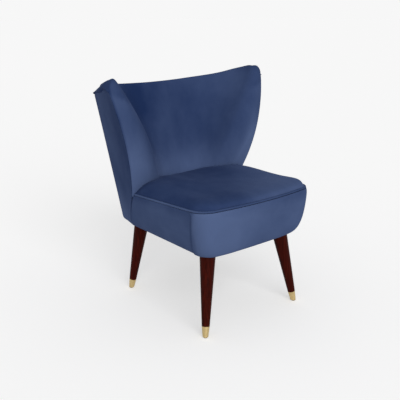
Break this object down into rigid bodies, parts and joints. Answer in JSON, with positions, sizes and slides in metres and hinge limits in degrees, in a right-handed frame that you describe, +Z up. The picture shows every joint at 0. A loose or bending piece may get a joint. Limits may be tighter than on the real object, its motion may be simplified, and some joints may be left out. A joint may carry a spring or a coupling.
{
  "type": "upholstered wing-back cocktail chair",
  "caption": "Armless upholstered chair with a wrap-around winged back, a piped sprung seat and splayed tapered wooden legs with brass ferrules.",
  "frame": {"origin": "centre of the chair's bounding box at floor level", "axes": "+Z up from the floor; the chair faces -Y; +X is to the right of someone who stands in front of it"},
  "size_m": [0.6722, 0.6328, 0.8035],
  "materials": {
    "velvet": "navy blue velvet with a short nap",
    "foam": "open-cell upholstery foam",
    "wadding": "polyester wadding and felt",
    "webbing": "woven elastic webbing",
    "dust_cloth": "black non-woven dust cloth",
    "frame_wood": "sawn hardwood",
    "leg_wood": "dark mahogany stain under gloss lacquer",
    "brass": "satin brass",
    "glide_plastic": "moulded black plastic",
    "steel": "bright wire and zinc-plated fasteners"
  },
  "bodies": {
    "root": {"back_foam": "foam", "back_lower_rail": "frame_wood", "back_strap_lower": "webbing", "back_strap_middle": "webbing", "back_strap_upper": "webbing", "back_top_rail": "frame_wood", "corner_block_front_left": "frame_wood", "corner_block_front_right": "frame_wood", "corner_block_rear_left": "frame_wood", "corner_block_rear_right": "frame_wood", "corner_block_screws": "steel", "dust_cover": "dust_cloth", "dust_cover_staples": "steel", "ferrule_front_left": "brass", "ferrule_front_right": "brass", "ferrule_rear_left": "brass", "ferrule_rear_right": "brass", "front_rail": "frame_wood", "glide_front_left": "glide_plastic", "glide_front_right": "glide_plastic", "glide_rear_left": "glide_plastic", "glide_rear_right": "glide_plastic", "inside_back_cover": "velvet", "left_back_post": "frame_wood", "left_side_boxing": "velvet", "left_side_rail": "frame_wood", "left_wing_post": "frame_wood", "left_wing_rail": "frame_wood", "leg_bolts": "steel", "leg_front_left": "leg_wood", "leg_front_right": "leg_wood", "leg_rear_left": "leg_wood", "leg_rear_right": "leg_wood", "leg_tee_nuts": "steel", "outside_back_cover": "velvet", "outside_back_wadding": "wadding", "rail_dowels": "frame_wood", "rear_rail": "frame_wood", "right_back_post": "frame_wood", "right_side_boxing": "velvet", "right_side_rail": "frame_wood", "right_wing_post": "frame_wood", "right_wing_rail": "frame_wood", "seat_deck_felt": "wadding", "seat_edge_padding": "foam", "seat_foam": "foam", "seat_front_boxing": "velvet", "seat_piping": "velvet", "seat_spring_1": "steel", "seat_spring_2": "steel", "seat_spring_3": "steel", "seat_spring_4": "steel", "seat_top_cover": "velvet", "spring_clips": "steel"}
  },
  "joints": []
}
